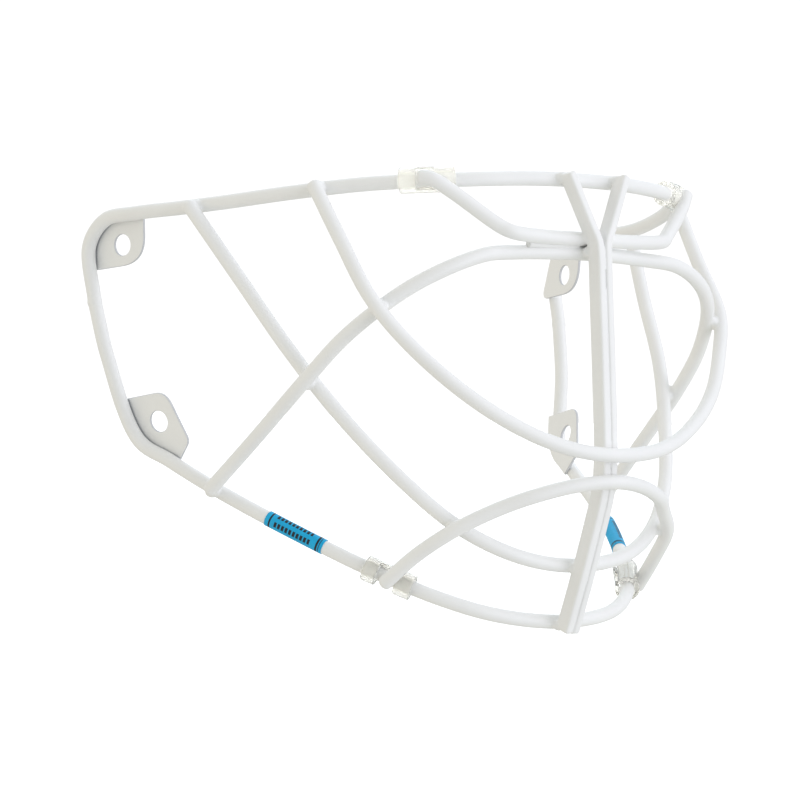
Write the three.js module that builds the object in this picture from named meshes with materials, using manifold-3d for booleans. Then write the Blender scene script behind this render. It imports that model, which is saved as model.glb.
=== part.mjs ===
// Wire face cage of an ice hockey goalie mask, in its worn position.
// Units are millimetres. +Z is up, the face looks along -Y, and X = 0 is the plane of symmetry.
// Left means -X, as seen from in front of the cage.
// The origin is the middle of the cage's bounding box.
// The cage is an assembly: a rim of two round wires, five round bars laid on the outside of it,
// two flat bars standing on edge down the middle, four screw plates, four clear plastic sleeves
// and two marking bands. Pieces that touch on the real cage keep a small gap here.

import * as THREE from "three";
import { mergeVertices } from "three/addons/utils/BufferGeometryUtils.js";
import Module from "manifold-3d";

const wasm = await Module();
wasm.setup();

// ---- driving dimensions ----

const GAP = 0.3; // clearance between pieces that touch
const WIRE_DIAMETER = 4.8; // 3/16 in round steel wire
const WIRE_SIDES = 10; // facets round a wire
const RING_SPACING = 7; // distance between the rings of facets along a wire
const WIRE_RADIUS = WIRE_DIAMETER / 2;

const FLAT_THICKNESS = 2.9; // flat bar
const FLAT_WIDTH = 5.9; // flat bar
const FLAT_SPACING = 3.5; // between the middles of the two flat bars
const FLAT_CORNER = 0.8; // rounding of the flat bar's edges

const PLATE_THICKNESS = 1.0; // screw plate sheet
const PLATE_HOLE_DIAMETER = 8.0; // screw hole

const SLEEVE_OUTER = 4.65; // outer radius of a plastic sleeve
const SLEEVE_INNER = 3.1; // bore radius of a plastic sleeve
const SLEEVE_SLIT = 2.0; // width of the slit that lets a sleeve open over the rim
const SLEEVE_SIDES = 20; // facets round a sleeve

const BAND_INNER = WIRE_RADIUS + 0.2; // bore radius of a marking band
const BAND_OUTER = WIRE_RADIUS + 0.5; // outer radius of a marking band

const WELD_LENGTH = 1.2; // butt weld between the two rim wires
const WELD_RADIUS = WIRE_RADIUS + 0.2;

// ---- bend points: the +X half of each wire, from its end to the middle ----

// The bend points and the plates' hole centres are measured from this point, which lies on the
// plane of symmetry behind the middle of the cage's bounding box.
const DRAWING_ORIGIN = new THREE.Vector3(0, 38.8, -0.9);

// The rim opens to the rear. Its upper wire rises from the side joint, turns forward at the
// rear upper corner and crosses the brow. Its lower wire drops from the joint to the chin.
const UPPER_RIM = [
  [113.4, 39.8, 32.5], [113.9, 43.8, 53], [112.9, 35.8, 62.5], [110, 21, 65], [103.5, 1.5, 67],
  [99, -19.5, 69], [88.5, -44, 72.5], [73, -68, 76], [54, -88.5, 78], [25, -98, 80],
  [0, -99.5, 80.5],
];
const LOWER_RIM = [
  [113.4, 39.8, 32.5], [110.8, 34.3, 12.5], [102.9, 24.9, -17], [97.5, 12, -24.5], [89, -11, -36],
  [77, -36, -48], [61, -61, -60.5], [45, -79, -69.5], [27, -89, -75], [0, -92.5, -77.5],
];

// Long bar from the brow, down across the cheek and round under the chin.
const CHEEK_BAR = [
  [107.5, -7, 68.5], [98, -26.5, 42], [89.5, -45.5, 17], [78, -62, -6], [63, -79, -28],
  [47, -90.5, -43.5], [26, -98.5, -53.5], [0, -100, -57],
];
// Lower edge of the two eye openings.
const LOWER_EYE_BAR = [
  [88, -54.5, 76], [86, -68.5, 56], [84, -83.5, 36], [76, -92.5, 22], [61, -104.5, 5.5],
  [42.5, -113.5, -7], [23, -119.5, -14.5], [0, -121.5, -17],
];
// Short bar across the forehead, its ends turned to lie along the rim.
const BROW_BAR = [
  [65.8, -85.2, 78.5], [62.5, -89, 78], [56, -92.5, 74], [40, -100.5, 62.5], [36, -103, 60.5],
  [22, -103.5, 59.5], [0, -103, 59.5],
];
// The same three end points on the right side, where the bar was cut shorter and bent steeper.
const BROW_BAR_RIGHT_END = [[57, -92.5, 79.5], [55, -93.5, 77], [53.5, -94, 74]];
// Upper edge of the two eye openings, standing on the chin rail at each side.
const UPPER_EYE_BAR = [
  [96, -9.5, -35], [92.5, -32, -15], [89, -57, 7.5], [84.5, -72.5, 22.5], [73, -88.5, 38],
  [60.5, -96.5, 46.5], [46, -100, 52], [32, -99, 53.5], [0, -101.5, 54.5],
];
// Bar across the mouth, standing on the chin rail at each side.
const CHIN_BAR = [
  [62, -68.5, -65.5], [57.5, -81, -54.5], [50.5, -94.5, -44.5], [39.5, -104, -37],
  [29.5, -112, -32], [15.5, -118, -28], [0, -121, -26.5],
];
// The same end point on the right side, where the bar reaches further under the rim.
const CHIN_BAR_RIGHT_END = [[62.5, -66, -67]];
// Centre line of the right flat bar, from the chin rail up to the brow rail. The two bars run
// side by side as far as the brow bar and spread apart above it.
const BAR_OFFSET = FLAT_SPACING / 2;
const CENTRE_BAR = [
  [BAR_OFFSET, -98, -80.5], [BAR_OFFSET, -104.7, -62], [BAR_OFFSET, -111, -43],
  [BAR_OFFSET, -114.7, -30], [BAR_OFFSET, -115.5, -18], [BAR_OFFSET, -113.2, 12],
  [BAR_OFFSET, -110.4, 42], [BAR_OFFSET, -109.5, 52], [2.2, -108.7, 58.5],
  [4.8, -108, 64], [13.3, -105.2, 82.5],
];

// ---- screw plates ----

// Each plate lies against the inner side of the rim at a rear corner. Its outline is drawn in
// the plane of the plate from the screw hole's centre: first backward, then upward.
const UPPER_PLATE = {
  holeCentre: [108.4, 30.6, 52.6],
  outward: [0.978, -0.201, -0.053],
  outline: (shape) => {
    shape.moveTo(-10.5, 12);
    shape.lineTo(-10.5, 3);
    shape.quadraticCurveTo(-10.5, -6.2, 0, -7.6);
    shape.lineTo(12.5, -9);
    shape.quadraticCurveTo(16.2, -9.3, 15.6, -6);
    shape.lineTo(12.6, 5);
    shape.quadraticCurveTo(10.5, 11.3, 2, 11.5);
  },
};
const LOWER_PLATE = {
  holeCentre: [99, 16.8, -11.3],
  outward: [0.943, -0.255, -0.214],
  outline: (shape) => {
    shape.moveTo(18, 8.2);
    shape.lineTo(0, 10.4);
    shape.quadraticCurveTo(-4.7, 10.9, -6.7, 6.2);
    shape.lineTo(-11.5, -5);
    shape.quadraticCurveTo(-12.7, -7.6, -11.2, -9.4);
    shape.lineTo(-5.8, -16);
    shape.quadraticCurveTo(0, -13, 5, -10.5);
    shape.quadraticCurveTo(15, -5, 18, 8.2);
  },
};

// ---- sleeves and marking bands: distances along the rim from its middle ----

const CHIN_SLEEVE = { from: 58.5, to: 77, notchFrom: 64.5, notchTo: 72, openBelow: true };
const BAND = { from: 94, to: 118 };

// What was put on by hand doesn't sit quite alike on the two sides. The brow sleeves are alike,
// but the right one is the other way round. The plates' shifts are backward and upward.
const HAND_FITTING = {
  left: {
    browSleeve: { from: 54, to: 73, notchFrom: 61, notchTo: 67, openBelow: false },
    browSleeveLift: 0.3,
    chinSleeveShift: 0,
    bandShift: 0,
    upperPlateShift: [0, 1],
    lowerPlateShift: [0.4, 1],
  },
  right: {
    browSleeve: { from: 46.5, to: 65.5, notchFrom: 52, notchTo: 58, openBelow: false },
    browSleeveLift: 0,
    chinSleeveShift: -2,
    bandShift: -1.5,
    upperPlateShift: [-0.2, -0.8],
    lowerPlateShift: [-1, -0.5],
  },
};

// ---- materials ----

function coatedSteel() {
  return new THREE.MeshStandardMaterial({ color: 0xf2f3f5, roughness: 0.4, metalness: 0 });
}
function clearPlastic() {
  return new THREE.MeshStandardMaterial({ color: 0xe8ece9, roughness: 0.12, metalness: 0 });
}
function blueVinyl() {
  return new THREE.MeshStandardMaterial({ color: 0x2ba0d2, roughness: 0.5, metalness: 0 });
}

// ---- curves ----

function toPoint([x, y, z]) {
  return new THREE.Vector3(x, y, z);
}

function mirrored([x, y, z]) {
  return [-x, y, z];
}

// The whole wire, from its left end to its right end. The right end may have points of its own.
function wireCurve(half, rightEnd = []) {
  const left = half.slice(0, -1).map(mirrored);
  const right = [...rightEnd, ...half.slice(rightEnd.length, -1)].reverse();
  const middle = half[half.length - 1];
  return new THREE.CatmullRomCurve3([...left, middle, ...right].map(toPoint));
}

// A stretch of a curve between two distances from the curve's middle, on one side of it.
function stretch(curve, from, to, side) {
  const length = curve.getLength();
  const count = Math.max(3, Math.ceil((to - from) / 3));
  const points = [];
  for (let i = 0; i <= count; i += 1) {
    const distance = from + ((to - from) * i) / count;
    points.push(curve.getPointAt(0.5 + (side * distance) / length));
  }
  return new THREE.CatmullRomCurve3(points);
}

// ---- solids ----

function sweep(section, curve, spacing = RING_SPACING) {
  const steps = Math.ceil(curve.getLength() / spacing);
  return new THREE.ExtrudeGeometry(section, {
    steps,
    bevelEnabled: false,
    extrudePath: curve,
    curveSegments: 1,
  });
}

function circlePath(target, radius, sides) {
  for (let i = 0; i < sides; i += 1) {
    const angle = (2 * Math.PI * i) / sides;
    const x = radius * Math.cos(angle);
    const y = radius * Math.sin(angle);
    if (i === 0) target.moveTo(x, y);
    else target.lineTo(x, y);
  }
  target.closePath();
  return target;
}

function roundSection(radius, sides = WIRE_SIDES) {
  return circlePath(new THREE.Shape(), radius, sides);
}

function ringSection(outer, inner, sides) {
  const section = roundSection(outer, sides);
  section.holes.push(circlePath(new THREE.Path(), inner, sides));
  return section;
}

// Rectangle with cut corners, thickness along the first axis and width along the second.
function flatSection() {
  const x = FLAT_THICKNESS / 2;
  const y = FLAT_WIDTH / 2;
  const c = FLAT_CORNER;
  const corners = [
    [x, y - c], [x - c, y], [c - x, y], [-x, y - c],
    [-x, c - y], [c - x, -y], [x - c, -y], [x, c - y],
  ];
  return new THREE.Shape(corners.map(([a, b]) => new THREE.Vector2(a, b)));
}

function toManifold(geometry) {
  const bare = geometry.clone();
  bare.deleteAttribute("normal");
  bare.deleteAttribute("uv");
  const merged = mergeVertices(bare, 1e-4);
  return new wasm.Manifold(new wasm.Mesh({
    numProp: 3,
    vertProperties: new Float32Array(merged.attributes.position.array),
    triVerts: new Uint32Array(merged.index.array),
  }));
}

function toGeometry(manifold) {
  const mesh = manifold.getMesh();
  const geometry = new THREE.BufferGeometry();
  geometry.setAttribute("position", new THREE.BufferAttribute(mesh.vertProperties, 3));
  geometry.setIndex(new THREE.BufferAttribute(mesh.triVerts, 1));
  geometry.computeVertexNormals();
  return geometry;
}

// A box with its own x axis along "along" and its y axis as near as possible to "outward".
function orientedBox(size, centre, along, outward) {
  const x = along.clone().normalize();
  const z = new THREE.Vector3().crossVectors(x, outward).normalize();
  const y = new THREE.Vector3().crossVectors(z, x);
  const matrix = new THREE.Matrix4().makeBasis(x, y, z).setPosition(centre);
  return new THREE.BoxGeometry(...size).applyMatrix4(matrix);
}

// ---- assembly ----

const cage = new THREE.Group();
cage.position.copy(DRAWING_ORIGIN);

function addPiece(name, geometry, material) {
  const mesh = new THREE.Mesh(geometry, material);
  mesh.name = name;
  cage.add(mesh);
}

const rimUpper = wireCurve(UPPER_RIM);
const rimLower = wireCurve(LOWER_RIM);
const browBar = wireCurve(BROW_BAR, BROW_BAR_RIGHT_END);
const chinBar = wireCurve(CHIN_BAR, CHIN_BAR_RIGHT_END);

// Shortens the rim wires at both ends, to leave room for the butt welds between them.
function trimmed(curve) {
  const half = curve.getLength() / 2 - WELD_LENGTH / 2 - GAP;
  const points = [];
  const count = 80;
  for (let i = 0; i <= count; i += 1) {
    const distance = -half + (2 * half * i) / count;
    points.push(curve.getPointAt(0.5 + distance / curve.getLength()));
  }
  return new THREE.CatmullRomCurve3(points);
}

function addWires() {
  const section = roundSection(WIRE_RADIUS);
  addPiece("upper_rim_wire", sweep(section, trimmed(rimUpper)), coatedSteel());
  addPiece("lower_rim_wire", sweep(section, trimmed(rimLower)), coatedSteel());
  addPiece("cheek_bar", sweep(section, wireCurve(CHEEK_BAR)), coatedSteel());
  addPiece("lower_eye_bar", sweep(section, wireCurve(LOWER_EYE_BAR)), coatedSteel());
  addPiece("brow_bar", sweep(section, browBar, 5), coatedSteel());
  addPiece("upper_eye_bar", sweep(section, wireCurve(UPPER_EYE_BAR)), coatedSteel());
  addPiece("chin_bar", sweep(section, chinBar), coatedSteel());
}

// Short slug of weld metal between the ends of the two rim wires.
function addRimWeld(name, side) {
  const end = toPoint(UPPER_RIM[0]);
  const along = toPoint(UPPER_RIM[1]).sub(toPoint(LOWER_RIM[1])).normalize();
  end.x *= side;
  along.x *= side;
  const start = end.clone().addScaledVector(along, -WELD_LENGTH / 2);
  const stop = end.clone().addScaledVector(along, WELD_LENGTH / 2);
  const slug = sweep(roundSection(WELD_RADIUS, 16), new THREE.LineCurve3(start, stop));
  addPiece(name, slug, coatedSteel());
}

function addCentreBar(name, side) {
  const points = CENTRE_BAR.map(([x, y, z]) => new THREE.Vector3(side * x, y, z));
  const curve = new THREE.CatmullRomCurve3(points);
  addPiece(name, sweep(flatSection(), curve, 5), coatedSteel());
}

function addPlate(name, plate, side, [backShift, upShift]) {
  const outward = toPoint(plate.outward).normalize();
  outward.x *= side;
  const backward = new THREE.Vector3(0, 1, 0).addScaledVector(outward, -outward.y).normalize();
  const upward = new THREE.Vector3().crossVectors(backward, outward).multiplyScalar(-side);
  const inward = outward.clone().negate();
  const centre = toPoint(plate.holeCentre);
  centre.x *= side;
  centre.addScaledVector(backward, backShift).addScaledVector(upward, upShift);

  const shape = new THREE.Shape();
  plate.outline(shape);
  shape.closePath();
  shape.holes.push(circlePath(new THREE.Path(), PLATE_HOLE_DIAMETER / 2, 24));
  const sheet = new THREE.ExtrudeGeometry(shape, {
    depth: PLATE_THICKNESS,
    bevelEnabled: false,
    curveSegments: 5,
  });
  const basis = new THREE.Matrix4().makeBasis(backward, upward, inward);
  if (basis.determinant() < 0) {
    // A left-handed frame would turn the solid inside out, so the sheet is mirrored by
    // extruding from its inner face outward instead.
    basis.makeBasis(backward, upward, outward);
    centre.addScaledVector(inward, PLATE_THICKNESS);
  }
  sheet.applyMatrix4(basis.setPosition(centre));
  addPiece(name, sheet, coatedSteel());
}

// A split tube over the rim, with a notch in front for the end of the bar that lies there.
function addSleeve(name, rim, bar, place, side, shift = 0, lift = 0) {
  const route = stretch(rim, place.from + shift, place.to + shift, side);
  route.points.forEach((point) => { point.z += lift; });
  const notchMiddle = (place.notchFrom + place.notchTo) / 2 + shift;
  const length = rim.getLength();
  const centre = rim.getPointAt(0.5 + (side * notchMiddle) / length);
  const along = rim.getTangentAt(0.5 + (side * notchMiddle) / length);
  const barEnd = bar.getPointAt(side > 0 ? 0.97 : 0.03);
  const outward = barEnd.clone().sub(centre);
  outward.addScaledVector(along, -outward.dot(along)).normalize();

  let sleeve = toManifold(sweep(ringSection(SLEEVE_OUTER, SLEEVE_INNER, SLEEVE_SIDES), route, 3));
  const slitCentre = centre.clone().addScaledVector(outward, -SLEEVE_OUTER);
  const slit = orientedBox([60, SLEEVE_OUTER, SLEEVE_SLIT], slitCentre, along, outward);
  const notchCentre = centre.clone().addScaledVector(outward, SLEEVE_OUTER + 0.6);
  const notchLength = place.notchTo - place.notchFrom;
  const notch = orientedBox(
    [notchLength, 2 * SLEEVE_OUTER, 4 * SLEEVE_OUTER], notchCentre, along, outward,
  );
  const barRoom = sweep(roundSection(WIRE_RADIUS + 2 * GAP, 16), bar, 4);
  const cutters = [slit, notch, barRoom];
  if (place.openBelow) {
    const down = new THREE.Vector3().crossVectors(along, outward).normalize();
    down.multiplyScalar(-Math.sign(down.z));
    const lowerCentre = notchCentre.clone().addScaledVector(down, 1.5 * SLEEVE_OUTER);
    lowerCentre.addScaledVector(outward, -SLEEVE_OUTER);
    cutters.push(orientedBox(
      [notchLength, 3 * SLEEVE_OUTER, 2 * SLEEVE_OUTER], lowerCentre, along, outward,
    ));
  }
  for (const cutter of cutters) {
    sleeve = sleeve.subtract(toManifold(cutter));
  }
  addPiece(name, toGeometry(sleeve), clearPlastic());
}

function addBand(name, side, shift) {
  const route = stretch(rimLower, BAND.from + shift, BAND.to + shift, side);
  const section = ringSection(BAND_OUTER, BAND_INNER, 14);
  addPiece(name, sweep(section, route, 5), blueVinyl());
}

addWires();
for (const [label, side] of [["left", -1], ["right", 1]]) {
  const fitting = HAND_FITTING[label];
  addRimWeld(`${label}_rim_weld`, side);
  addCentreBar(`${label}_centre_bar`, side);
  addPlate(`upper_${label}_plate`, UPPER_PLATE, side, fitting.upperPlateShift);
  addPlate(`lower_${label}_plate`, LOWER_PLATE, side, fitting.lowerPlateShift);
  const { browSleeve, browSleeveLift, chinSleeveShift } = fitting;
  addSleeve(`brow_${label}_sleeve`, rimUpper, browBar, browSleeve, side, 0, browSleeveLift);
  addSleeve(`chin_${label}_sleeve`, rimLower, chinBar, CHIN_SLEEVE, side, chinSleeveShift);
  addBand(`${label}_marking_band`, side, fitting.bandShift);
}

export default cage;
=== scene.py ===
# Looks for the wire face cage of a goalie mask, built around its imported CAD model.
# The CAD frame: +Z is up, the face looks along -Y, X = 0 is the plane of symmetry, and the
# origin is the middle of the cage's bounding box. Blender's lengths are metres. The shapes are
# worked out in millimetres, as in the CAD source, and turned into metres when a mesh is made.
# Left means -X, as seen from in front of the cage.

import math

import bpy
import numpy as np
from mathutils import Matrix, Vector


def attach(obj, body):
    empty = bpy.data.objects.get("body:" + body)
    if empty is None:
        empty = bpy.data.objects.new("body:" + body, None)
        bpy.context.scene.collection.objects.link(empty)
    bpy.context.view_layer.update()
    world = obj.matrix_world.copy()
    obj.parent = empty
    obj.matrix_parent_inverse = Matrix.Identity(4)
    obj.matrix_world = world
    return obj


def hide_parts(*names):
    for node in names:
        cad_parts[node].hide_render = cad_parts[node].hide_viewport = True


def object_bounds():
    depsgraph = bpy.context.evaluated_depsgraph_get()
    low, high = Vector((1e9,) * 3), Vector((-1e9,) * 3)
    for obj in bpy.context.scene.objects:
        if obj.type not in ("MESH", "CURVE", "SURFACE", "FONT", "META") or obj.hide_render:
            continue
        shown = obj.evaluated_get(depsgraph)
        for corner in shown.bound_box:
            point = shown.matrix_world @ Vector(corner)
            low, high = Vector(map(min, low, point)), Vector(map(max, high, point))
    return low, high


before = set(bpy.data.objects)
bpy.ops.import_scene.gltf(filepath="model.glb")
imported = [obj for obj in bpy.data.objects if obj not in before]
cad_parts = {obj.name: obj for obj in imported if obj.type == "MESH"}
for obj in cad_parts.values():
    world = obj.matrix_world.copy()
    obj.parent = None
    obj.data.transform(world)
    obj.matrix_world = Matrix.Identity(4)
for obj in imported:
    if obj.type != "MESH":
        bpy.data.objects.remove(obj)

cad_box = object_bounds()

# ---- driving dimensions, in millimetres ----

MM = 0.001
COAT = 0.2  # powder coat on the bare steel
WIRE_RADIUS = 2.4 + COAT
WIRE_END_ROUNDING = 1.5
WIRE_SIDES = 28
FLAT_THICKNESS = 2.9 + 2 * COAT
FLAT_WIDTH = 5.9 + 2 * COAT
FLAT_EDGE_RADIUS = 0.95
FLAT_END_ROUNDING = 0.9
FLAT_SPACING = 3.5  # between the middles of the two flat bars
SEAM_DEPTH = 0.45  # of the groove where the two flat bars meet
BROW_SEAM = (0, 23)  # where the coat fills the gap under the brow bar, from its middle
BROW_SEAM_RADIUS = 1.3
PLATE_THICKNESS = 1.0
PLATE_COAT = 0.1
PLATE_HOLE_DIAMETER = 8.0
PLATE_EDGE_RADIUS = 0.4
SLEEVE_OUTER = 4.65
SLEEVE_INNER = 3.1
SLEEVE_SLIT = 2.0
SLEEVE_EDGE_ROUNDING = 0.28
BAND_OUTER = WIRE_RADIUS + 0.22
DRAWING_ORIGIN = Vector((0, 38.8, -0.9))  # the drawing's zero, seen from the cage's origin

# ---- bend points of the +X half of each wire, as in the CAD source ----
# They were solved for by a separate least-squares program, rounded to 0.5 mm, improved by a
# search in 0.5 mm steps, and then corrected by hand in places.

WIRES = {
    "upper_rim_wire": [
        (113.4, 39.8, 32.5), (113.9, 43.8, 53), (112.9, 35.8, 62.5), (110, 21, 65),
        (103.5, 1.5, 67), (99, -19.5, 69), (88.5, -44, 72.5), (73, -68, 76),
        (54, -88.5, 78), (25, -98, 80), (0, -99.5, 80.5),
    ],
    "lower_rim_wire": [
        (113.4, 39.8, 32.5), (110.8, 34.3, 12.5), (102.9, 24.9, -17), (97.5, 12, -24.5),
        (89, -11, -36), (77, -36, -48), (61, -61, -60.5), (45, -79, -69.5),
        (27, -89, -75), (0, -92.5, -77.5),
    ],
    "cheek_bar": [
        (107.5, -7, 68.5), (98, -26.5, 42), (89.5, -45.5, 17), (78, -62, -6),
        (63, -79, -28), (47, -90.5, -43.5), (26, -98.5, -53.5), (0, -100, -57),
    ],
    "lower_eye_bar": [
        (88, -54.5, 76), (86, -68.5, 56), (84, -83.5, 36), (76, -92.5, 22),
        (61, -104.5, 5.5), (42.5, -113.5, -7), (23, -119.5, -14.5), (0, -121.5, -17),
    ],
    "brow_bar": [
        (65.8, -85.2, 78.5), (62.5, -89, 78), (56, -92.5, 74), (40, -100.5, 62.5),
        (36, -103, 60.5), (22, -103.5, 59.5), (0, -103, 59.5),
    ],
    "upper_eye_bar": [
        (96, -9.5, -35), (92.5, -32, -15), (89, -57, 7.5), (84.5, -72.5, 22.5),
        (73, -88.5, 38), (60.5, -96.5, 46.5), (46, -100, 52), (32, -99, 53.5),
        (0, -101.5, 54.5),
    ],
    "chin_bar": [
        (62, -68.5, -65.5), (57.5, -81, -54.5), (50.5, -94.5, -44.5), (39.5, -104, -37),
        (29.5, -112, -32), (15.5, -118, -28), (0, -121, -26.5),
    ],
}
BROW_BAR_RIGHT_END = [(57, -92.5, 79.5), (55, -93.5, 77), (53.5, -94, 74)]
CHIN_BAR_RIGHT_END = [(62.5, -66, -67)]
BAR_OFFSET = FLAT_SPACING / 2
CENTRE_BAR = [
    (BAR_OFFSET, -98, -80.5), (BAR_OFFSET, -104.7, -62), (BAR_OFFSET, -111, -43),
    (BAR_OFFSET, -114.7, -30), (BAR_OFFSET, -115.5, -18), (BAR_OFFSET, -113.2, 12),
    (BAR_OFFSET, -110.4, 42), (BAR_OFFSET, -109.5, 52), (2.2, -108.7, 58.5),
    (4.8, -108, 64), (13.3, -105.2, 82.5),
]
SIDES = {"left": -1, "right": 1}

# Sleeves and bands: distances along the rim from its middle.
CHIN_SLEEVE = {"from": 58.5, "to": 77, "notch": (64.5, 72), "open_below": True}
BAND = {"from": 94, "to": 118}

# What was put on by hand doesn't sit quite alike on the two sides. The right brow sleeve is the
# other way round. The plates' shifts are backward and upward.
HAND_FITTING = {
    "left": {
        "brow_sleeve": {"from": 54, "to": 73, "notch": (61, 67), "open_below": False},
        "brow_sleeve_lift": 0.3,
        "chin_sleeve_shift": 0,
        "band_shift": 0,
        "plate_shifts": {"upper": (0, 1), "lower": (0.4, 1)},
    },
    "right": {
        "brow_sleeve": {"from": 46.5, "to": 65.5, "notch": (52, 58), "open_below": False},
        "brow_sleeve_lift": 0,
        "chin_sleeve_shift": -2,
        "band_shift": -1.5,
        "plate_shifts": {"upper": (-0.2, -0.8), "lower": (-1, -0.5)},
    },
}


# ---- curves ----

PATH_STEP = 1.0  # between the points of a wire's path


def smooth_curve(points):
    """A centripetal Catmull-Rom curve through the points, as evenly spaced points."""
    given = np.array(points, float)
    ends = (2 * given[0] - given[1], 2 * given[-1] - given[-2])
    control = np.vstack([ends[0], given, ends[1]])
    dense = []
    for i in range(1, len(control) - 2):
        p = control[i - 1:i + 3]
        knots = np.concatenate([[0], np.cumsum(np.linalg.norm(np.diff(p, axis=0), axis=1) ** 0.5)])
        for t in np.linspace(knots[1], knots[2], 40, endpoint=False):
            dense.append(pyramid(p, knots, t))
    dense.append(given[-1])
    return resample(np.array(dense), PATH_STEP)


def pyramid(p, knots, t):
    """The Catmull-Rom point at t, by repeated linear blends of four control points."""
    level = [np.array(q) for q in p]
    for width in (1, 2):
        level = [
            blend(level[i], level[i + 1], knots[i], knots[i + width], t)
            for i in range(len(level) - 1)
        ]
    return blend(level[0], level[1], knots[1], knots[2], t)


def blend(a, b, start, end, t):
    return ((end - t) * a + (t - start) * b) / (end - start)


def lengths(path):
    return np.concatenate([[0], np.cumsum(np.linalg.norm(np.diff(path, axis=0), axis=1))])


def resample(path, step):
    run = lengths(path)
    count = max(2, int(round(run[-1] / step)) + 1)
    at = np.linspace(0, run[-1], count)
    return np.stack([np.interp(at, run, path[:, i]) for i in range(3)], axis=1)


def wire_path(half, right_end=()):
    """The whole wire from its left end to its right end, in the cage's own frame. Points given
    for its right end take the place of the first ones of the half."""
    left = [(-x, y, z) for x, y, z in half[:-1]]
    right = [*right_end, *half[len(right_end):-1]][::-1]
    return smooth_curve(left + [half[-1]] + right) + np.array(DRAWING_ORIGIN)


def stretch(path, start, end, side, step=0.5):
    """The part of a path between two distances from its middle, on one side."""
    run = lengths(path)
    middle = run[-1] / 2
    at = middle + side * np.arange(start, end + step / 2, step)
    return np.stack([np.interp(at, run, path[:, i]) for i in range(3)], axis=1)


def tangents(path):
    t = np.gradient(path, axis=0)
    return t / np.linalg.norm(t, axis=1)[:, None]


def across(path, guide):
    """Two unit directions across the path at every point. The first stays as near as it can to
    the guide direction, or turns as little as it can if there is no guide."""
    t = tangents(path)
    first = np.zeros_like(path)
    start = np.array(guide if guide is not None else (0.3, 0.2, 0.93), float)
    for i in range(len(path)):
        base = start if guide is not None or i == 0 else first[i - 1]
        v = base - t[i] * (base @ t[i])
        first[i] = v / np.linalg.norm(v)
    return first, np.cross(t, first)


# ---- meshes ----

def make_object(name, vertices, faces, uvs=None, smooth=True):
    """A mesh object from vertices in millimetres."""
    mesh = bpy.data.meshes.new(name)
    mesh.from_pydata([tuple(v) for v in np.array(vertices) * MM], [], faces)
    if uvs is not None:
        layer = mesh.uv_layers.new(name="along")
        for loop in mesh.loops:
            layer.data[loop.index].uv = uvs[loop.vertex_index]
    mesh.validate()
    mesh.update()
    mesh.polygons.foreach_set("use_smooth", [smooth] * len(mesh.polygons))
    obj = bpy.data.objects.new(name, mesh)
    bpy.context.scene.collection.objects.link(obj)
    return obj


def sweep_rings(path, sections, guide=None):
    """Rings of points: sections[i] is the outline at path[i] as (first, second) offsets."""
    first, second = across(path, guide)
    return [
        path[i] + sections[i][:, :1] * first[i] + sections[i][:, 1:] * second[i]
        for i in range(len(path))
    ]


def skin(rings):
    """Vertices and faces of a tube with closed ends through rings of equal size."""
    size = len(rings[0])
    vertices = [v for ring in rings for v in ring]
    faces = []
    for i in range(len(rings) - 1):
        for j in range(size):
            k = (j + 1) % size
            faces.append((i * size + j, i * size + k, (i + 1) * size + k, (i + 1) * size + j))
    vertices += [rings[0].mean(axis=0), rings[-1].mean(axis=0)]
    head = len(vertices) - 2
    last = (len(rings) - 1) * size
    for j in range(size):
        k = (j + 1) % size
        faces.append((head, k, j))
        faces.append((head + 1, last + j, last + k))
    return vertices, faces


def round_section(radius, sides):
    angle = np.linspace(0, 2 * math.pi, sides, endpoint=False)
    return radius * np.stack([np.cos(angle), np.sin(angle)], axis=1)


def flat_section(inset=0.0):
    """The flat bar's outline with rounded edges: thickness first, width second."""
    x = FLAT_THICKNESS / 2 - inset
    y = FLAT_WIDTH / 2 - inset
    r = max(FLAT_EDGE_RADIUS - inset, 0.2)
    arc_steps = 4
    points = []
    for corner, (sx, sy) in enumerate([(1, 1), (-1, 1), (-1, -1), (1, -1)]):
        for i in range(arc_steps + 1):
            a = math.radians(90 * (corner + i / arc_steps))
            points.append((sx * (x - r) + r * math.cos(a), sy * (y - r) + r * math.sin(a)))
    return np.array(points)


def with_rounded_ends(path, rounding):
    """The path with extra points near both ends, and how far the section shrinks at each."""
    run = lengths(path)
    total = run[-1]
    bends = rounding * (1 - np.cos(np.radians([0, 25, 45, 65, 90])))
    middle = run[(run > rounding * 1.05) & (run < total - rounding * 1.05)]
    at = np.concatenate([bends, middle, total - bends[::-1]])
    points = np.stack([np.interp(at, run, path[:, i]) for i in range(3)], axis=1)
    depth = np.minimum(at, total - at)
    near = np.clip(depth / rounding, 0, 1)
    shrink = rounding * (1 - np.sqrt(1 - (1 - near) ** 2))
    return points, shrink


def wire_geometry(path, radius=WIRE_RADIUS):
    points, shrink = with_rounded_ends(path, WIRE_END_ROUNDING)
    return skin(sweep_rings(points, [round_section(radius - s, WIRE_SIDES) for s in shrink]))


def flat_geometry(path):
    points, shrink = with_rounded_ends(path, FLAT_END_ROUNDING)
    return skin(sweep_rings(points, [flat_section(s) for s in shrink], guide=(1, 0, 0)))


def settle(obj, material, slot, *replaced, edges=None):
    """Gives a finished piece its material, perhaps another one on its narrow edge faces, and
    ties it to the frame."""
    obj.data.materials.clear()
    obj.data.materials.append(material)
    if edges is not None:
        obj.data.materials.append(edges)
    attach(obj, "root")
    if replaced:
        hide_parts(*replaced)
    return obj


def apply_modifiers(obj):
    """Turns the object's modifiers into plain mesh."""
    graph = bpy.context.evaluated_depsgraph_get()
    mesh = bpy.data.meshes.new_from_object(obj.evaluated_get(graph))
    obj.modifiers.clear()
    obj.data = mesh
    return obj


# ---- materials ----

CORNER_REACH = 1.2  # how near another surface brings the painted shade, in millimetres


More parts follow.
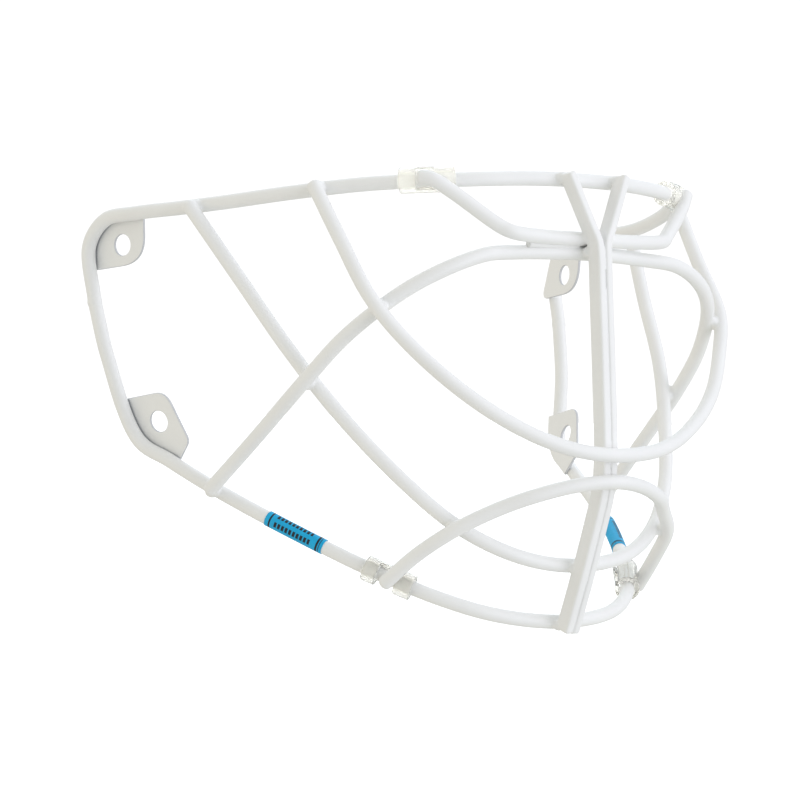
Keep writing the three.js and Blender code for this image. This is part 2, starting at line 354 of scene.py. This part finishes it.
class Nodes:
    """A small helper that builds one material's node tree."""

    def __init__(self, name):
        self.material = bpy.data.materials.new(name)
        self.material.use_nodes = True
        self.tree = self.material.node_tree
        self.shader = self.tree.nodes["Principled BSDF"]

    def add(self, kind, **settings):
        node = self.tree.nodes.new(kind)
        for key, value in settings.items():
            if hasattr(node, key):
                setattr(node, key, value)
            else:
                node.inputs[key].default_value = value
        return node

    def link(self, source, target):
        self.tree.links.new(source, target)

    def noise(self, vector, scale, detail=3.0, roughness=0.5):
        node = self.add("ShaderNodeTexNoise")
        node.inputs["Scale"].default_value = scale
        node.inputs["Detail"].default_value = detail
        node.inputs["Roughness"].default_value = roughness
        self.link(vector, node.inputs["Vector"])
        return node.outputs["Fac"]

    def spread(self, value, low, high):
        """Maps noise from about 0.3..0.7 to low..high."""
        node = self.add("ShaderNodeMapRange")
        node.inputs["From Min"].default_value = 0.3
        node.inputs["From Max"].default_value = 0.7
        node.inputs["To Min"].default_value = low
        node.inputs["To Max"].default_value = high
        self.link(value, node.inputs["Value"])
        return node.outputs["Result"]

    def bump(self, height, distance):
        node = self.add("ShaderNodeBump")
        node.inputs["Distance"].default_value = distance
        self.link(height, node.inputs["Height"])
        return node.outputs["Normal"]


def powder_coat(name, darker, lighter, shade_in_corners=False):
    """Polyester powder coat: satin, with a faint orange peel and a faint unevenness. Painted shade
    can darken it in narrow corners near other surfaces."""
    n = Nodes(name)
    place = n.add("ShaderNodeTexCoord").outputs["Object"]
    ramp = n.add("ShaderNodeValToRGB")
    ramp.color_ramp.elements[0].position = 0.3
    ramp.color_ramp.elements[0].color = darker
    ramp.color_ramp.elements[1].position = 0.7
    ramp.color_ramp.elements[1].color = lighter
    n.link(n.noise(place, 55, 3), ramp.inputs["Fac"])
    colour = ramp.outputs["Color"]
    if shade_in_corners:
        # Painted shade in narrow corners near other surfaces.
        colour = paint_corner_shade(n, colour)
    n.link(colour, n.shader.inputs["Base Color"])
    n.link(n.spread(n.noise(place, 240, 2), 0.33, 0.43), n.shader.inputs["Roughness"])
    n.link(n.bump(n.noise(place, 320, 1, 0.4), 0.000002), n.shader.inputs["Normal"])
    n.shader.inputs["IOR"].default_value = 1.5
    return n.material


def paint_corner_shade(n, colour):
    """Painted shade: the coat's colour, darkened where other surfaces are near."""
    corner = n.add("ShaderNodeAmbientOcclusion")
    corner.samples = 8
    corner.inputs["Distance"].default_value = CORNER_REACH * MM
    reach = n.add("ShaderNodeMapRange")
    reach.inputs["From Min"].default_value = 0.25
    reach.inputs["From Max"].default_value = 0.7
    n.link(corner.outputs["AO"], reach.inputs["Value"])
    mix = n.add("ShaderNodeMix", data_type="RGBA")
    n.link(reach.outputs["Result"], mix.inputs["Factor"])
    # The grey-blue of the painted shade.
    mix.inputs[6].default_value = (0.38, 0.40, 0.43, 1)
    n.link(colour, mix.inputs[7])
    return mix.outputs[2]


def clear_plastic():
    """Clear flexible tube with faint drawing lines along it and a slight yellow tint."""
    n = Nodes("clear_sleeve_plastic")
    along = n.add("ShaderNodeUVMap", uv_map="along").outputs["UV"]
    stretch_lines = n.add("ShaderNodeMapping")
    stretch_lines.inputs["Scale"].default_value = (60, 900, 1)
    n.link(along, stretch_lines.inputs["Vector"])
    place = n.add("ShaderNodeTexCoord").outputs["Object"]
    lines = n.noise(stretch_lines.outputs["Vector"], 1.0, 3, 0.6)
    n.link(n.bump(lines, 0.00004), n.shader.inputs["Normal"])
    n.link(n.spread(n.noise(place, 500, 2), 0.04, 0.12), n.shader.inputs["Roughness"])
    ramp = n.add("ShaderNodeValToRGB")
    ramp.color_ramp.elements[0].position = 0.3
    ramp.color_ramp.elements[0].color = (0.92, 0.91, 0.86, 1)
    ramp.color_ramp.elements[1].position = 0.7
    ramp.color_ramp.elements[1].color = (0.97, 0.965, 0.93, 1)
    n.link(n.noise(place, 220, 2), ramp.inputs["Fac"])
    n.link(ramp.outputs["Color"], n.shader.inputs["Base Color"])
    n.shader.inputs["IOR"].default_value = 1.5
    n.shader.inputs["Transmission Weight"].default_value = 0.82
    return n.material


# Rows of plain dark blocks on the bands: where each row starts and ends round the band, as a
# share of a turn from its top towards the outside of the cage.
BLOCK_ROWS = {"left": [(0.29, 0.40), (0.10, 0.20)], "right": [(0.0, 0.09), (0.97, 1.0)]}


def blue_vinyl(name, rows):
    """Printed blue wrap: rows of plain dark blocks and two dark lines round each end."""
    n = Nodes(name)
    place = n.add("ShaderNodeTexCoord").outputs["Object"]
    uv = n.add("ShaderNodeSeparateXYZ")
    n.link(n.add("ShaderNodeUVMap", uv_map="along").outputs["UV"], uv.inputs["Vector"])
    along, around = uv.outputs["X"], uv.outputs["Y"]

    def maths(operation, a, b):
        node = n.add("ShaderNodeMath", operation=operation)
        for socket, value in zip(node.inputs, (a, b)):
            if isinstance(value, bpy.types.NodeSocket):
                n.link(value, socket)
            else:
                socket.default_value = value
        return node.outputs[0]

    def between(value, low, high):
        return maths("MULTIPLY", maths("GREATER_THAN", value, low), maths("LESS_THAN", value, high))

    wave = maths("PINGPONG", along, 0.00078)
    blocks = maths("MULTIPLY", maths("GREATER_THAN", wave, 0.00025), between(along, 0.005, 0.020))
    marks = between(along, 0.0018, 0.0026)
    for low, high in ((0.0011, 0.0014), (0.0217, 0.0224)):
        marks = maths("MAXIMUM", marks, between(along, low, high))
    for row in rows:
        marks = maths("MAXIMUM", marks, maths("MULTIPLY", blocks, between(around, *row)))
    blue = n.add("ShaderNodeValToRGB")
    blue.color_ramp.elements[0].position = 0.3
    blue.color_ramp.elements[0].color = (0.004, 0.38, 0.70, 1)
    blue.color_ramp.elements[1].position = 0.7
    blue.color_ramp.elements[1].color = (0.010, 0.44, 0.78, 1)
    n.link(n.noise(place, 300, 4), blue.inputs["Fac"])
    mix = n.add("ShaderNodeMix", data_type="RGBA")
    n.link(marks, mix.inputs["Factor"])
    n.link(blue.outputs["Color"], mix.inputs[6])
    mix.inputs[7].default_value = (0.012, 0.02, 0.03, 1)
    n.link(mix.outputs[2], n.shader.inputs["Base Color"])
    n.shader.inputs["Specular IOR Level"].default_value = 0.3
    n.link(n.spread(n.noise(place, 400, 2), 0.38, 0.5), n.shader.inputs["Roughness"])
    n.link(n.bump(n.noise(place, 1500, 2), 0.00002), n.shader.inputs["Normal"])
    return n.material


# ---- pieces: wires and bars ----

WHITE = ((0.857, 0.857, 0.848, 1), (0.887, 0.887, 0.878, 1))
GREYISH = ((0.58, 0.59, 0.61, 1), (0.64, 0.65, 0.67, 1))
coat = powder_coat("white_powder_coat", *WHITE)
# The plates' coat takes painted shade in narrow corners near other surfaces.
plate_coat = powder_coat("white_plate_coat", *WHITE, shade_in_corners=True)
# The plates' narrow edge faces and hole walls are coloured this darker grey.
edge_coat = powder_coat("grey_edge_coat", *GREYISH)
paths = {name: wire_path(half) for name, half in WIRES.items()}
paths["brow_bar"] = wire_path(WIRES["brow_bar"], BROW_BAR_RIGHT_END)
paths["chin_bar"] = wire_path(WIRES["chin_bar"], CHIN_BAR_RIGHT_END)


def add_wires():
    for name, path in paths.items():
        wire = make_object(f"{name}_coated", *wire_geometry(path))
        settle(wire, coat, "coated_steel", name)


def centre_bar_path(side):
    points = [(side * x, y, z) for x, y, z in CENTRE_BAR]
    return smooth_curve(points) + np.array(DRAWING_ORIGIN)


def add_centre_bars():
    for label, side in SIDES.items():
        bar = make_object(f"{label}_centre_bar_coated", *flat_geometry(centre_bar_path(side)))
        settle(bar, coat, "coated_steel", f"{label}_centre_bar")


def add_bar_seam():
    """Coat that fills the narrow gap between the two centre bars, as far as they run together."""
    middle = [(0, y, z) for _, y, z in CENTRE_BAR if z < 50]
    path = smooth_curve(middle) + np.array(DRAWING_ORIGIN)
    x, y = 0.5, FLAT_WIDTH / 2 - SEAM_DEPTH
    section = np.array([(x, y), (-x, y), (-x, -y), (x, -y)])
    rings = sweep_rings(path, [section] * len(path), guide=(1, 0, 0))
    settle(make_object("centre_bar_seam", *skin(rings)), coat, "coated_steel")


def add_brow_seam():
    """Coat that fills the narrow gap between the brow bar and the upper eye bar, on the left."""
    upper = stretch(paths["brow_bar"], *BROW_SEAM, -1)
    below = resample(paths["upper_eye_bar"], 0.1)
    nearest = [below[np.linalg.norm(below - point, axis=1).argmin()] for point in upper]
    path = (upper + np.array(nearest)) / 2
    rings = sweep_rings(path, [round_section(BROW_SEAM_RADIUS, 20)] * len(path))
    settle(make_object("brow_seam", *skin(rings)), coat, "coated_steel")


def add_butt_welds():
    """A low ring of weld metal where the two rim wires meet at each side."""
    upper = paths["upper_rim_wire"]
    lower = paths["lower_rim_wire"]
    for label, index in (("left", 0), ("right", -1)):
        step = 1 if index == 0 else -1
        a = upper[::step][:4]
        b = lower[::step][:4]
        path = resample(np.vstack([b[:0:-1], a]), 0.4)
        run = lengths(path)
        swell = 0.22 * np.exp(-((run - run[-1] / 2) / 1.1) ** 2) - 0.05
        rings = sweep_rings(path, [round_section(WIRE_RADIUS + s, 28) for s in swell])
        weld = make_object(f"{label}_rim_weld_coated", *skin(rings))
        settle(weld, coat, "coated_steel", f"{label}_rim_weld")


# ---- pieces: fillets of weld metal under the coat where bars cross ----

FILLET_VOXEL = 0.42
FILLET_REACH = 9.0  # how far it follows each round bar
FILLET_REACH_ON_FLAT_BAR = 7.0
FILLET_INSET = 0.02  # how far its skin lies under that of the bars
FILLET_SMOOTHING = 9
CROSSING_BEAD = (3.3, 2.6, 1.7)  # the bead's half lengths where two round bars cross
CENTRE_BAR_BEAD = (2.9, 2.2, 1.8)


def closest(path_a, path_b, side):
    """Where two paths come nearest each other, on one side of the cage or anywhere (0): the
    part of each path on that side and the point's index in it."""
    a = path_a[path_a[:, 0] * side > -0.5] if side else path_a
    b = path_b[path_b[:, 0] * side > -0.5] if side else path_b
    gap = np.linalg.norm(a[:, None] - b[None], axis=2)
    i, j = np.unravel_index(gap.argmin(), gap.shape)
    return a, i, b, j


def near_part(path, index, reach=FILLET_REACH):
    """The part of a path within reach of one of its points."""
    run = lengths(path)
    return path[np.abs(run - run[index]) <= reach]


def bead(centre, along, normal, size):
    """An ellipsoid of weld metal: its longest axis along, its shortest along the normal."""
    z = normal / np.linalg.norm(normal)
    x = along - z * (along @ z)
    x /= np.linalg.norm(x)
    y = np.cross(z, x)
    rows, sides = 10, 16
    rings = []
    for i in range(1, rows):
        a = math.pi * i / rows
        ring = round_section(math.sin(a), sides)
        rings.append(
            centre + size[0] * ring[:, :1] * x + size[1] * ring[:, 1:] * y
            + size[2] * math.cos(a) * z
        )
    vertices, faces = skin(rings)
    vertices[-2] = centre + size[2] * z
    vertices[-1] = centre - size[2] * z
    return vertices, faces


def merged(parts):
    vertices, faces = [], []
    for part_vertices, part_faces in parts:
        first = len(vertices)
        vertices += list(part_vertices)
        faces += [tuple(v + first for v in face) for face in part_faces]
    return vertices, faces


def fillet(name, parts):
    """A skin over the crossing pieces, smoothed so that it only stands out in their corners."""
    vertices, faces = merged(parts)
    rough = make_object(name, np.array(vertices) / MM, faces)
    remesh = rough.modifiers.new("remesh", "REMESH")
    remesh.mode = "VOXEL"
    remesh.voxel_size = FILLET_VOXEL
    relax = rough.modifiers.new("relax", "SMOOTH")
    relax.factor = 0.5
    relax.iterations = FILLET_SMOOTHING
    apply_modifiers(rough)
    rough.data.transform(Matrix.Scale(MM, 4))
    rough.data.polygons.foreach_set("use_smooth", [True] * len(rough.data.polygons))
    return settle(rough, coat, "coated_steel")


def crossing(name, first, second, side):
    """The fillet where two round bars cross or meet."""
    a, i, b, j = closest(paths[first], paths[second], side)
    normal = b[j] - a[i]
    along = tangents(a)[i] + tangents(b)[j] * np.sign(tangents(a)[i] @ tangents(b)[j])
    parts = [
        wire_geometry(near_part(a, i), WIRE_RADIUS - FILLET_INSET),
        wire_geometry(near_part(b, j), WIRE_RADIUS - FILLET_INSET),
        bead((a[i] + b[j]) / 2, along, normal, CROSSING_BEAD),
    ]
    fillet(name, parts)


CROSSINGS = [
    ("upper_rim_wire", "cheek_bar"), ("upper_rim_wire", "lower_eye_bar"),
    ("lower_rim_wire", "upper_eye_bar"), ("lower_rim_wire", "chin_bar"),
    ("cheek_bar", "upper_eye_bar"), ("lower_eye_bar", "upper_eye_bar"),
    ("cheek_bar", "chin_bar"), ("upper_rim_wire", "brow_bar"),
]
BAR_CROSSINGS = [
    "lower_rim_wire", "cheek_bar", "chin_bar", "lower_eye_bar", "upper_eye_bar",
]


def add_fillets():
    for label, side in SIDES.items():
        for first, second in CROSSINGS:
            crossing(f"{label}_weld_{first}_{second}", first, second, side)
        bar = centre_bar_path(side)
        for wire in ("brow_bar", "upper_rim_wire"):
            bar_crossing(f"{label}_weld_centre_bar_{wire}", [bar], wire)
    both = [centre_bar_path(side) for side in SIDES.values()]
    for wire in BAR_CROSSINGS:
        bar_crossing(f"weld_centre_bars_{wire}", both, wire)


def bar_crossing(name, bars, wire):
    """The fillet where a round bar crosses one or both of the centre bars."""
    parts = []
    for bar in bars:
        b, j, a, i = closest(bar, paths[wire], 0)
        piece = near_part(b, j, FILLET_REACH_ON_FLAT_BAR)
        sections = [flat_section(FILLET_INSET)] * len(piece)
        parts.append(skin(sweep_rings(piece, sections, guide=(1, 0, 0))))
        parts.append(bead((a[i] + b[j]) / 2, tangents(a)[i], a[i] - b[j], CENTRE_BAR_BEAD))
    parts.append(wire_geometry(near_part(a, i), WIRE_RADIUS - FILLET_INSET))
    fillet(name, parts)


# ---- pieces: screw plates ----

def curve_to(points, control, end, count=8):
    """Adds a quadratic curve from the last point, as drawing programs do."""
    start = points[-1]
    for i in range(1, count + 1):
        t = i / count
        points.append(tuple(
            (1 - t) ** 2 * start[k] + 2 * t * (1 - t) * control[k] + t * t * end[k]
            for k in (0, 1)
        ))


def upper_plate_outline():
    points = [(-10.5, 12), (-10.5, 3)]
    curve_to(points, (-10.5, -6.2), (0, -7.6), 14)
    points.append((12.5, -9))
    curve_to(points, (16.2, -9.3), (15.6, -6))
    points.append((12.6, 5))
    curve_to(points, (10.5, 11.3), (2, 11.5), 10)
    return points


def lower_plate_outline():
    points = [(18, 8.2), (0, 10.4)]
    curve_to(points, (-4.7, 10.9), (-6.7, 6.2))
    points.append((-11.5, -5))
    curve_to(points, (-12.7, -7.6), (-11.2, -9.4))
    points.append((-5.8, -16))
    curve_to(points, (0, -13), (5, -10.5))
    curve_to(points, (15, -5), (18, 8.2), 10)
    return points[:-1]


PLATES = {
    "upper": ((108.4, 30.6, 52.6), (0.978, -0.201, -0.053), upper_plate_outline()),
    "lower": ((99, 16.8, -11.3), (0.943, -0.255, -0.214), lower_plate_outline()),
}


def add_plate(name, hole_centre, outward, outline, side, shift):
    outward = Vector((side * outward[0], outward[1], outward[2])).normalized()
    backward = (Vector((0, 1, 0)) - outward * outward.y).normalized()
    upward = backward.cross(outward) * -side
    centre = Vector((side * hole_centre[0], hole_centre[1], hole_centre[2])) + DRAWING_ORIGIN
    centre += backward * shift[0] + upward * shift[1] - outward * PLATE_THICKNESS / 2

    sheet = bpy.data.curves.new(name, "CURVE")
    sheet.dimensions = "2D"
    sheet.fill_mode = "BOTH"
    hole = PLATE_HOLE_DIAMETER / 2 * round_section(1, 48)
    for loop in (outline, hole):
        spline = sheet.splines.new("POLY")
        spline.points.add(len(loop) - 1)
        for point, (x, y) in zip(spline.points, loop):
            point.co = (x, y, 0, 1)
        spline.use_cyclic_u = True
    thickness = PLATE_THICKNESS + 2 * PLATE_COAT
    sheet.bevel_depth = PLATE_EDGE_RADIUS
    sheet.bevel_resolution = 4
    sheet.extrude = thickness / 2 - PLATE_EDGE_RADIUS
    sheet.offset = -PLATE_EDGE_RADIUS + PLATE_COAT
    drawn = bpy.data.objects.new(name + "_outline", sheet)
    bpy.context.scene.collection.objects.link(drawn)
    graph = bpy.context.evaluated_depsgraph_get()
    mesh = bpy.data.meshes.new_from_object(drawn.evaluated_get(graph))
    bpy.data.objects.remove(drawn)

    place = Matrix((backward, upward, backward.cross(upward))).transposed().to_4x4()
    mesh.transform(Matrix.Scale(MM, 4) @ Matrix.Translation(centre) @ place)
    mesh.name = name
    mesh.polygons.foreach_set("use_smooth", [True] * len(mesh.polygons))
    mesh.set_sharp_from_angle(angle=math.radians(50))
    obj = bpy.data.objects.new(name + "_coated", mesh)
    bpy.context.scene.collection.objects.link(obj)
    settle(obj, plate_coat, "coated_steel", name, edges=edge_coat)
    for face in mesh.polygons:
        face.material_index = int(abs(face.normal @ outward) < 0.8)


def add_plates():
    for level, (hole_centre, outward, outline) in PLATES.items():
        for label, side in SIDES.items():
            shift = HAND_FITTING[label]["plate_shifts"][level]
            add_plate(f"{level}_{label}_plate", hole_centre, outward, outline, side, shift)


# ---- pieces: clear sleeves and marking bands ----

def add_sleeves():
    plastic = clear_plastic()
    for label, side in SIDES.items():
        fitting = HAND_FITTING[label]
        brow, brow_lift = fitting["brow_sleeve"], fitting["brow_sleeve_lift"]
        chin_shift = fitting["chin_sleeve_shift"]
        for kind, rim, bar, place, shift, lift in (
            ("brow", "upper_rim_wire", "brow_bar", brow, 0, brow_lift),
            ("chin", "lower_rim_wire", "chin_bar", CHIN_SLEEVE, chin_shift, 0),
        ):
            name = f"{kind}_{label}_sleeve"
            sleeve = make_sleeve(name, paths[rim], paths[bar], place, side, shift, lift)
            settle(sleeve, plastic, "clear_plastic", name)
            # A shadow through clear plastic would be far too dark on the bright brow.
            sleeve.visible_shadow = kind == "chin"


def make_sleeve(name, rim, bar, place, side, shift, lift):
    """A split tube with round edges, with a notch where the bar's end lies on the rim."""
    start, end = place["from"] + shift, place["to"] + shift
    path = stretch(rim, start, end, side, 0.5) + np.array([0, 0, lift])
    notch_from, notch_to = (distance + shift for distance in place["notch"])
    notch_middle = stretch(rim, (notch_from + notch_to) / 2, (notch_from + notch_to) / 2, side)[0]
    bar_end = bar[-4] if side > 0 else bar[3]
    outward = bar_end - notch_middle
    first, second = across(path, outward)
    half_slit = SLEEVE_SLIT / 2 / SLEEVE_OUTER  # in radians
    angles = np.linspace(-math.pi + half_slit, math.pi - half_slit, 61)
    down = 1 if second[len(path) // 2][2] < 0 else -1
    run = np.linspace(start, end, len(path))

    def open_cell(distance, angle):
        if not notch_from < distance < notch_to:
            return False
        if abs(angle) < math.radians(62):
            return True
        return place["open_below"] and 0 < angle * down < math.radians(150)

    def vertex(i, angle, radius):
        c, s = math.cos(angle), math.sin(angle)
        return path[i] + radius * (c * first[i] + s * second[i])

    vertices = [
        vertex(i, a, radius)
        for radius in (SLEEVE_OUTER, SLEEVE_INNER)
        for i in range(len(path)) for a in angles
    ]
    uvs = [
        (r * MM, a * SLEEVE_OUTER * MM)
        for _ in range(2) for r in run for a in angles
    ]
    columns = len(angles)
    layer = len(path) * columns
    kept = {
        (i, j)
        for i in range(len(path) - 1) for j in range(columns - 1)
        if not open_cell((run[i] + run[i + 1]) / 2, (angles[j] + angles[j + 1]) / 2)
    }
    faces = []
    for i, j in sorted(kept):
        a, b = i * columns + j, i * columns + j + 1
        c, d = (i + 1) * columns + j + 1, (i + 1) * columns + j
        faces.append((a, b, c, d))
        faces.append((d + layer, c + layer, b + layer, a + layer))
        for (ni, nj), (p, q) in (
            ((i - 1, j), (a, b)), ((i, j + 1), (b, c)), ((i + 1, j), (c, d)), ((i, j - 1), (d, a)),
        ):
            if (ni, nj) not in kept:
                faces.append((p, p + layer, q + layer, q))
    obj = make_object(name + "_plastic", vertices, faces, uvs)
    soften_edges(obj, SLEEVE_EDGE_ROUNDING)
    return obj


def soften_edges(obj, width):
    """Rounds a closed mesh's sharp edges."""
    weld = obj.modifiers.new("clean", "WELD")
    weld.merge_threshold = 1e-7
    bevel = obj.modifiers.new("edges", "BEVEL")
    bevel.width = width * MM
    bevel.segments = 3
    bevel.limit_method = "ANGLE"
    bevel.angle_limit = math.radians(50)
    bevel.use_clamp_overlap = True
    apply_modifiers(obj)
    obj.data.polygons.foreach_set("use_smooth", [True] * len(obj.data.polygons))


def add_bands():
    sides = 40
    for label, side in SIDES.items():
        shift = HAND_FITTING[label]["band_shift"]
        path = stretch(paths["lower_rim_wire"], BAND["from"] + shift, BAND["to"] + shift, side)
        run = lengths(path)
        outer = sweep_rings(path, [round_section(BAND_OUTER, sides)] * len(path))
        inner_radius = WIRE_RADIUS + 0.02
        inner = sweep_rings(path, [round_section(inner_radius, sides)] * len(path))
        rings = outer + inner[::-1]
        vertices = [v for ring in rings for v in ring]
        turn = [(side * j / sides) % 1 for j in range(sides)]
        uvs = [(distance * MM, share) for distance in [*run, *run[::-1]] for share in turn]
        faces = []
        for i in range(len(rings)):
            n = (i + 1) % len(rings)
            for j in range(sides):
                k = (j + 1) % sides
                faces.append((i * sides + j, i * sides + k, n * sides + k, n * sides + j))
        band = make_object(f"{label}_marking_band_wrap", vertices, faces, uvs)
        vinyl = blue_vinyl(f"blue_{label}_band_vinyl", BLOCK_ROWS[label])
        settle(band, vinyl, "blue_vinyl", f"{label}_marking_band")


# ---- stage ----

# The camera's values come from the same least-squares program as the bend points.
CAMERA_AZIMUTH = 39.4  # degrees from straight in front, towards -X
CAMERA_ROLL = 1.78
CAMERA_DISTANCE = 1.5796
CAMERA_LENS = 189.2


def direction(azimuth, elevation):
    """Unit vector from the cage towards a place at that azimuth (from -Y towards -X)."""
    a, e = math.radians(azimuth), math.radians(elevation)
    return Vector((-math.sin(a) * math.cos(e), -math.cos(a) * math.cos(e), math.sin(e)))


def add_camera():
    data = bpy.data.cameras.new("camera")
    data.lens = CAMERA_LENS
    data.sensor_width = 36
    data.clip_start = 0.1
    data.clip_end = 60
    camera = bpy.data.objects.new("camera", data)
    bpy.context.scene.collection.objects.link(camera)
    back = direction(CAMERA_AZIMUTH, 0)
    roll = Matrix.Rotation(math.radians(CAMERA_ROLL), 4, "Z")
    turn = back.to_track_quat("Z", "Y").to_matrix().to_4x4() @ roll
    aim = DRAWING_ORIGIN * MM + Vector((-0.00015, 0.00012, 0.00019))
    camera.matrix_world = Matrix.Translation(aim + back * CAMERA_DISTANCE) @ turn
    bpy.context.scene.camera = camera


# The studio's soft light: an even level from all round and broad patches of it. Each patch has
# an azimuth and an elevation seen from the cage, where the azimuth counts to the camera's right
# from the camera itself, and the colour of its middle. A separate least-squares program picked
# the directions out of a grid of them and gave the even level and the colours, here rounded.
EVEN_LIGHT = (0.54, 0.56, 0.55)
LIGHT_PATCHES = [
    (60, 0, (1.80, 1.79, 1.97)),
    (90, 45, (0.86, 0.85, 0.96)),
    (-60, 0, (0.71, 0.65, 0.51)),
    (-90, 45, (0.58, 0.50, 0.45)),
    (-90, -45, (0.46, 0.34, 0.22)),
    (135, -45, (0.34, 0.33, 0.21)),
    (180, 45, (0.97, 1.12, 1.27)),
]
PATCH_SHARPNESS = 8  # a patch fades as this power of the cosine of the angle from its middle


def add_world():
    """Soft light from all round, cool from the right and warm from the left. What the camera
    sees directly or through the clear plastic is plain white."""
    world = bpy.data.worlds.new("studio")
    bpy.context.scene.world = world
    world.use_nodes = True
    tree = world.node_tree

    def join(kind, operation, *inputs):
        """A maths node whose inputs are either other nodes' outputs or constants."""
        node = tree.nodes.new(kind)
        node.operation = operation
        for socket, value in zip(node.inputs, inputs):
            if isinstance(value, bpy.types.NodeSocket):
                tree.links.new(value, socket)
            else:
                socket.default_value = value
        return node

    surroundings = tree.nodes.new("ShaderNodeTexCoord").outputs["Generated"]
    total = None
    for azimuth, elevation, colour in LIGHT_PATCHES:
        middle = direction(CAMERA_AZIMUTH - azimuth, elevation)
        cosine = join("ShaderNodeVectorMath", "DOT_PRODUCT", surroundings, middle)
        front = join("ShaderNodeMath", "MAXIMUM", cosine.outputs["Value"], 0.0)
        level = join("ShaderNodeMath", "POWER", front.outputs[0], PATCH_SHARPNESS)
        patch = join("ShaderNodeVectorMath", "MULTIPLY", level.outputs[0], colour)
        before = EVEN_LIGHT if total is None else total
        total = join("ShaderNodeVectorMath", "ADD", before, patch.outputs[0]).outputs[0]
    soft = tree.nodes.new("ShaderNodeBackground")
    tree.links.new(total, soft.inputs["Color"])

    plain = tree.nodes["Background"]
    plain.inputs["Color"].default_value = (1, 1, 1, 1)
    plain.inputs["Strength"].default_value = 1.1
    ray = tree.nodes.new("ShaderNodeLightPath")
    clear = join("ShaderNodeMath", "MAXIMUM",
                 ray.outputs["Is Camera Ray"], ray.outputs["Is Transmission Ray"])
    choose = tree.nodes.new("ShaderNodeMixShader")
    tree.links.new(clear.outputs[0], choose.inputs[0])
    tree.links.new(soft.outputs[0], choose.inputs[1])
    tree.links.new(plain.outputs[0], choose.inputs[2])
    tree.links.new(choose.outputs[0], tree.nodes["World Output"].inputs["Surface"])


def add_floor():
    """A plain pale floor that glows a little, as a light table does, so no shadow shows on it.
    It lets the light of the studio through, which lights the cage from below instead."""
    size, height = 14.0, cad_box[0].z - 0.001
    corners = [(-size, -size), (size, -size), (size, size), (-size, size)]
    vertices = np.array([(x, y, height) for x, y in corners]) / MM
    floor = make_object("studio_floor", vertices, [(0, 1, 2, 3)], smooth=False)
    n = Nodes("pale_floor")
    place = n.add("ShaderNodeTexCoord").outputs["Object"]
    ramp = n.add("ShaderNodeValToRGB")
    ramp.color_ramp.elements[0].color = (0.93, 0.93, 0.93, 1)
    ramp.color_ramp.elements[1].color = (0.95, 0.95, 0.95, 1)
    n.link(n.noise(place, 3), ramp.inputs["Fac"])
    n.link(ramp.outputs["Color"], n.shader.inputs["Base Color"])
    n.shader.inputs["Roughness"].default_value = 0.9
    n.shader.inputs["Emission Color"].default_value = (1, 1, 1, 1)
    n.shader.inputs["Emission Strength"].default_value = 0.45
    floor.data.materials.append(n.material)
    floor.visible_diffuse = False
    floor.visible_glossy = False
    floor.visible_shadow = False


add_camera()
add_world()
add_floor()
bpy.context.scene.view_settings.view_transform = "Standard"

add_wires()
add_centre_bars()
add_bar_seam()
add_brow_seam()
add_butt_welds()
add_fillets()
add_plates()
add_sleeves()
add_bands()
